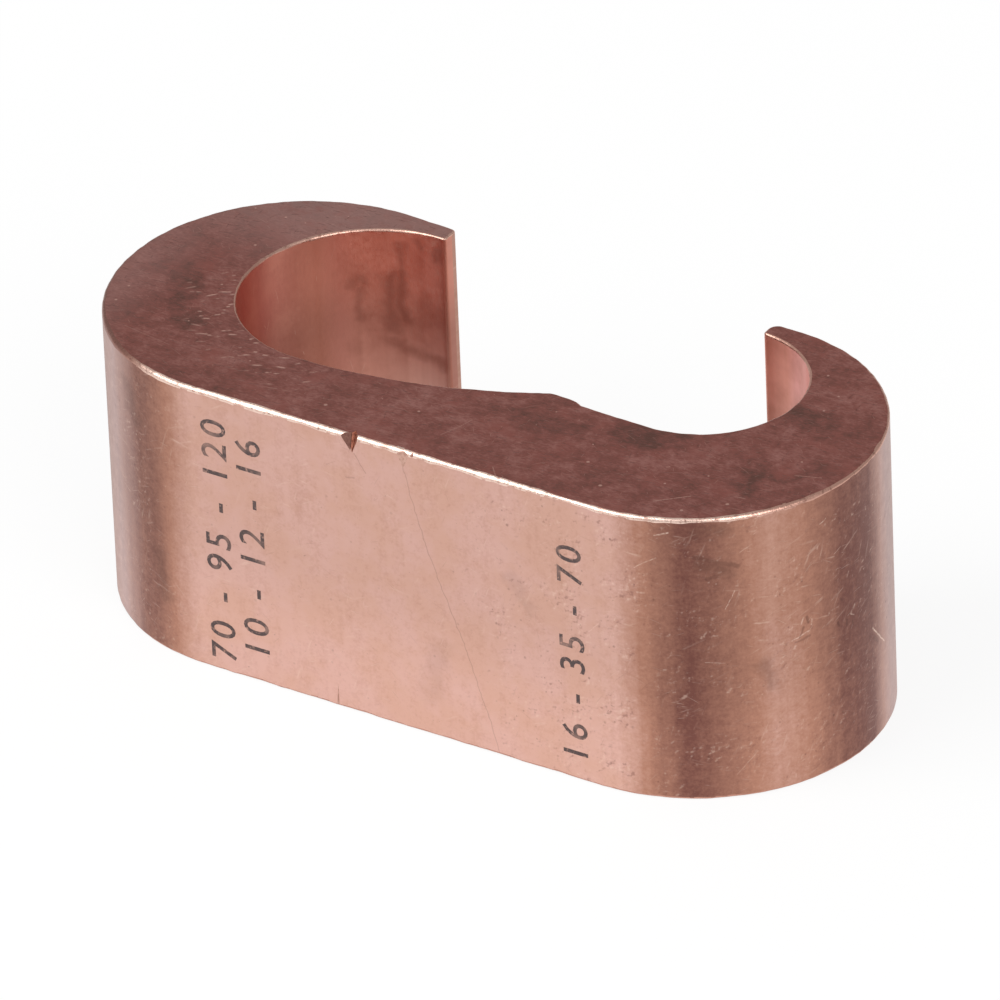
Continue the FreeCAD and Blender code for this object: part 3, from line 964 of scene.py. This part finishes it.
def make_worn_edge():
    """The burnished rims: brightest along the flat front, with painted shade that dulls and darkens
    them round the ends, at the left end and below.
    """
    tree, shader = new_copper("worn_edge")
    point, x, y, z = object_millimetres(tree)
    fine = cloud(tree, point, 7.0, 3.0)
    in_patches = fade(tree, cloud(tree, point, 1.2, 3.0), 0.48, 0.75, 0.0, 0.7)
    # Painted shade: the rims are dulled round the ends, at the left and near the bottom.
    shaded_below = fade(tree, z, 2.0, 0.5)
    shaded_round_ends = fade(tree, y, -11.2, -5.5, 0.0, 0.8)
    shaded_at_left = fade(tree, x, -16.0, -19.5, 0.0, 0.95)
    dull_and_shaded = strongest(tree, in_patches, shaded_below, shaded_round_ends, shaded_at_left)
    by_large_groove = product(tree, fade(tree, y, 2.0, 4.0), fade(tree, x, -2.0, -6.0), 0.2)
    dull_and_shaded = product(tree, dull_and_shaded, maths(tree, "SUBTRACT", 1.0, by_large_groove))
    colour = mix(tree, dull_and_shaded, RIM_BRIGHT, RIM_DULL_AND_SHADED)
    # Painted shade darkens the rims at the left end.
    colour = mix(tree, fade(tree, x, -17.0, -20.5), colour, RIM_TARNISH_AND_SHADE)
    chipped = fade(tree, cloud(tree, point, 2.6, 4.0), 0.54, 0.66, 0.0, 0.6)
    colour = mix(tree, chipped, colour, RIM_TARNISH_AND_SHADE)
    roughness = fade(tree, fine, 0.2, 0.8, 0.24, 0.42)
    finish_with(tree, shader, colour, roughness, fine, 0.015)


GROOVE_SHADE = (0.48, 0.20, 0.145)
GROOVE_STAIN = (0.27, 0.10, 0.07)

# Painted shade low in the grooves and painted light near their top: how light the groove walls are
# low down and at the top, and the heights in millimetres where the change starts and ends.
GROOVE_PAINTED_SHADE = (0.87, 1.28)
GROOVE_PAINTED_SHADE_HEIGHTS = (12.5, 17.0)

# Colours of the grooves by the angle round them, in degrees: the copper's own colour with painted
# light and shade by which way the wall faces.
RUN_COLOURS_AND_PAINTED_LIGHT = (
    (60, (0.41, 0.145, 0.10)), (87, (0.41, 0.145, 0.10)), (91, (0.90, 0.59, 0.50)),
    (105, (0.82, 0.47, 0.38)), (119, (0.77, 0.385, 0.30)), (128, (0.77, 0.37, 0.285)),
    (136, (0.66, 0.285, 0.22)), (146, (0.43, 0.162, 0.112)), (156, (0.36, 0.132, 0.094)),
    (166, (0.35, 0.124, 0.092)), (182, (0.41, 0.138, 0.108)), (200, (0.46, 0.125, 0.095)),
    (265, (0.50, 0.17, 0.125)))
TAP_COLOURS_AND_PAINTED_LIGHT = (
    (-60, (0.60, 0.28, 0.22)), (30, (0.66, 0.31, 0.25)), (50, (0.735, 0.385, 0.35)),
    (62, (0.72, 0.37, 0.335)), (70, (0.70, 0.33, 0.26)), (90, (0.70, 0.33, 0.26)))

# Stains in the grooves: half width, strength, and points by the angle round the groove in
# degrees and the height in millimetres.
RUN_STAINS = (
    (0.6, 0.45, (84, 18.7), (84, 17.2)), (0.95, 0.5, (113.6, 16.0), (114.4, 14.3), (113.4, 12.5)),
    (0.6, 0.35, (109, 18.2), (108.3, 16.5)), (0.6, 0.4, (91.2, 18.1), (91.2, 17.4)),
    (0.7, 0.5, (108.6, 16.3), (109.6, 14.4), (107.4, 13.1)), (0.5, 0.3, (101.5, 18.6), (100.5, 18.3)),
    (0.75, 0.45, (114, 11.5), (108, 11.0), (102, 10.7), (90, 10.4)),
    (0.5, 0.3, (132, 15.6), (127, 16.1), (126, 15.7)), (0.5, 0.35, (127.6, 15.2), (127.6, 13.2)))
TAP_STAINS = ((0.8, 0.3, (40, 8.0), (44, 13.0)), (0.6, 0.3, (-60, 4.0), (-35, 5.0)))


def groove_place(tree, centre, radius):
    """A flat point along a groove's wall and up it, the angle round the groove, and the height."""
    x, y, z = object_millimetres(tree)[1:]
    turn = maths(tree, "ARCTAN2", maths(tree, "SUBTRACT", y, centre[1]),
                 maths(tree, "SUBTRACT", x, centre[0]))
    turn = maths(tree, "DEGREES", turn)
    turn = maths(tree, "MULTIPLY_ADD", maths(tree, "LESS_THAN", turn, -90.0), 360.0, turn)
    return flat_point(tree, product(tree, turn, radians(radius)), z), turn, z


def make_groove_copper(name, centre, radius, colours_and_painted_light, stains):
    """The inside of a groove: orange copper with faint drawn lines and a few dark stains, painted
    light and shade by the angle round it, and painted shade low down.
    """
    tree, shader = new_copper(name)
    wall, turn, z = groove_place(tree, centre, radius)
    drawn = cloud(tree, wall, 0.9, 2.0, (1, 0.03, 1))
    patches = cloud(tree, wall, 0.4, 3.0)
    grain = cloud(tree, wall, 5.0, 3.0, (1, 0.5, 1))
    shade = maths(tree, "ADD", fade(tree, drawn, 0.35, 0.7, 0.0, 0.25),
                  fade(tree, patches, 0.4, 0.7, 0.0, 0.4))
    # The colours by angle carry painted light and shade.
    colour = mix(tree, shade, colour_by_place(tree, turn, colours_and_painted_light), GROOVE_SHADE)
    # Painted shade low down and painted light near the top.
    colour = scaled(tree, colour, fade(tree, z, *GROOVE_PAINTED_SHADE_HEIGHTS, *GROOVE_PAINTED_SHADE))
    paths = [(half_width, strength, *((angle * radians(radius), high) for angle, high in stops))
             for half_width, strength, *stops in stains]
    stain = product(tree, strokes(tree, shaken(tree, wall, 0.7, 1.1), paths, 0.0),
                    fade(tree, grain, 0.2, 0.6, 0.7, 1.0))
    colour = mix(tree, stain, colour, GROOVE_STAIN)
    fine = product(tree, scratches(tree, wall, "groove"), 0.25)
    colour = mix(tree, fine, colour, FRESH_SCRATCH_AND_DENT_LIGHT)
    roughness = fade(tree, grain, 0.2, 0.8, 0.32, 0.42)
    height = maths(tree, "MULTIPLY_ADD", grain, 0.3, drawn)
    finish_with(tree, shader, colour, roughness, height, 0.01)


# The two tones of each finish of the nicks. The darker finish is painted shade inside the deep nick.
PAINTED_NICK_SHADE_TONES = ((0.34, 0.17, 0.13), (0.22, 0.10, 0.08))
SCUFFED_TONES = ((0.66, 0.41, 0.33), (0.50, 0.28, 0.22))


def make_nick_finish(name, pale, deep):
    """Copper for the facets of the nicks, in two tones."""
    tree, shader = new_copper(name)
    tone = cloud(tree, object_millimetres(tree)[0], 6.0, 3.0)
    colour = mix(tree, fade(tree, tone, 0.3, 0.7), pale, deep)
    roughness = fade(tree, tone, 0.2, 0.8, 0.3, 0.45)
    finish_with(tree, shader, colour, roughness, tone, 0.01)


INK = (0.06, 0.035, 0.033)
INK_ROUGHNESS = 0.55


def make_faded_ink():
    """Printed ink, rubbed through to the copper in small places."""
    tree, shader = new_material("faded_ink")[1:]
    point = object_millimetres(tree)[0]
    rubbed = strongest(tree, fade(tree, cloud(tree, point, 4.5, 4.0), 0.52, 0.72, 0.0, 0.6),
                       fade(tree, cloud(tree, point, 0.8), 0.45, 0.75, 0.0, 0.35))
    tree.links.new(mix(tree, rubbed, INK, BRIGHT_COPPER), shader.inputs["Base Color"])
    tree.links.new(product(tree, rubbed, 0.8), shader.inputs["Metallic"])
    shader.inputs["Roughness"].default_value = INK_ROUGHNESS


def make_materials():
    make_scratch_group()
    make_stroke_group()
    make_pit_group()
    make_rolled_copper()
    make_sawn_copper()
    make_worn_edge()
    make_groove_copper("run_groove_copper", RUN_GROOVE, RUN_GROOVE_RADIUS, RUN_COLOURS_AND_PAINTED_LIGHT, RUN_STAINS)
    make_groove_copper("tap_groove_copper", TAP_GROOVE, TAP_GROOVE_RADIUS, TAP_COLOURS_AND_PAINTED_LIGHT, TAP_STAINS)
    make_nick_finish("bruised_copper", *PAINTED_NICK_SHADE_TONES)
    make_nick_finish("scuffed_copper", *SCUFFED_TONES)
    make_faded_ink()


# The floor's size, in metres, and how much of its look is plain white rather than lit paper.
FLOOR_SIZE = 8.0
PAPER_WHITE = (0.97, 0.97, 0.97, 1)
PAPER_ROUGHNESS = 0.9
PAPER_SPECULAR = 0.1
FLOOR_WHITE_SHARE = 0.87

# The floor lies this far below the part, in millimetres, so that the two don't coincide.
FLOOR_GAP = 0.03


def make_floor():
    """White paper with a soft shadow, white to the camera and in the metal, and clear from below."""
    select_none()
    bpy.ops.mesh.primitive_plane_add(size=FLOOR_SIZE, location=(0, 0, -FLOOR_GAP * MM))
    floor = bpy.context.active_object
    floor.name = "studio_floor"
    material, tree, paper = new_material("white_paper")
    paper.inputs["Base Color"].default_value = PAPER_WHITE
    paper.inputs["Roughness"].default_value = PAPER_ROUGHNESS
    paper.inputs["Specular IOR Level"].default_value = PAPER_SPECULAR
    ray = add_node(tree, "ShaderNodeLightPath").outputs
    seen = strongest(
        tree, ray["Is Camera Ray"], ray["Is Glossy Ray"], ray["Is Transmission Ray"])
    white = add_node(tree, "ShaderNodeEmission", {"Strength": 1.0})
    blend = add_node(tree, "ShaderNodeMixShader", {
        0: product(tree, seen, FLOOR_WHITE_SHARE), 1: paper.outputs[0], 2: white.outputs[0]})
    from_below = add_node(tree, "ShaderNodeNewGeometry").outputs["Backfacing"]
    clear = add_node(tree, "ShaderNodeBsdfTransparent")
    sided = add_node(tree, "ShaderNodeMixShader", {
        0: from_below, 1: blend.outputs[0], 2: clear.outputs[0]})
    tree.links.new(sided.outputs[0], tree.nodes["Material Output"].inputs["Surface"])
    floor.data.materials.append(material)


def away_from_part(azimuth, elevation):
    """A direction away from the part. The azimuth turns from -Y towards +X, in degrees."""
    flat = cos(radians(elevation))
    return Vector((sin(radians(azimuth)) * flat, -cos(radians(azimuth)) * flat,
                   sin(radians(elevation))))


# Softboxes: name, azimuth, elevation, distance and size in metres, and power in watts.
SOFTBOXES = (("key_softbox", -33, 45, 1.2, 0.9, 9), ("side_softbox", 60, 35, 1.2, 0.7, 5))


def place_in_scene(name, data):
    item = bpy.data.objects.new(name, data)
    bpy.context.scene.collection.objects.link(item)
    return item


def make_softbox(name, azimuth, elevation, distance, size, power):
    """A square lamp that faces the connector."""
    data = bpy.data.lights.new(name, "AREA")
    data.shape = "SQUARE"
    data.size = size
    data.energy = power
    lamp = place_in_scene(name, data)
    away = away_from_part(azimuth, elevation)
    lamp.location = away * distance
    lamp.rotation_euler = away.to_track_quat("Z", "Y").to_euler()


# Camera, fitted to the photograph. Lengths are in millimetres, angles in degrees.
LOOK_AT = (-2.28, 3.46, 6.78)
CAMERA_AZIMUTH = 33.455
CAMERA_ELEVATION = 31.405
CAMERA_ROLL = 2.375
CAMERA_DISTANCE = 941.9
SENSOR_WIDTH = 36.0
FOCAL_LENGTH = 569.9

# The camera sees between these distances, in metres.
CAMERA_CLIP = (0.05, 50.0)


def make_camera():
    data = bpy.data.cameras.new("camera")
    data.sensor_width = SENSOR_WIDTH
    data.lens = FOCAL_LENGTH
    data.clip_start = CAMERA_CLIP[0]
    data.clip_end = CAMERA_CLIP[1]
    camera = place_in_scene("camera", data)
    azimuth = radians(CAMERA_AZIMUTH)
    away = away_from_part(CAMERA_AZIMUTH, CAMERA_ELEVATION)
    level_right = Vector((cos(azimuth), sin(azimuth), 0))
    level_up = away.cross(level_right)
    roll = radians(CAMERA_ROLL)
    right = cos(roll) * level_right - sin(roll) * level_up
    up = sin(roll) * level_right + cos(roll) * level_up
    place = Vector(LOOK_AT) * MM + away * CAMERA_DISTANCE * MM
    camera.matrix_world = Matrix((
        (right.x, up.x, away.x, place.x),
        (right.y, up.y, away.y, place.y),
        (right.z, up.z, away.z, place.z),
        (0, 0, 0, 1)))
    bpy.context.scene.camera = camera


WORLD_GREY = (0.5, 0.5, 0.5, 1)


def make_world():
    """Plain grey light from all round."""
    world = bpy.data.worlds.new("studio")
    world.use_nodes = True
    background = world.node_tree.nodes["Background"]
    background.inputs["Color"].default_value = WORLD_GREY
    background.inputs["Strength"].default_value = 1.0
    bpy.context.scene.world = world


make_materials()
connector = make_connector()
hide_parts("connector_body")
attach(connector, "root")
for number, size_mark in enumerate(SIZE_MARKS, 1):
    mark = make_size_mark(number, *size_mark)
    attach(mark, "root")

make_floor()
for softbox in SOFTBOXES:
    make_softbox(*softbox)
make_camera()
make_world()
bpy.context.scene.view_settings.view_transform = "Standard"
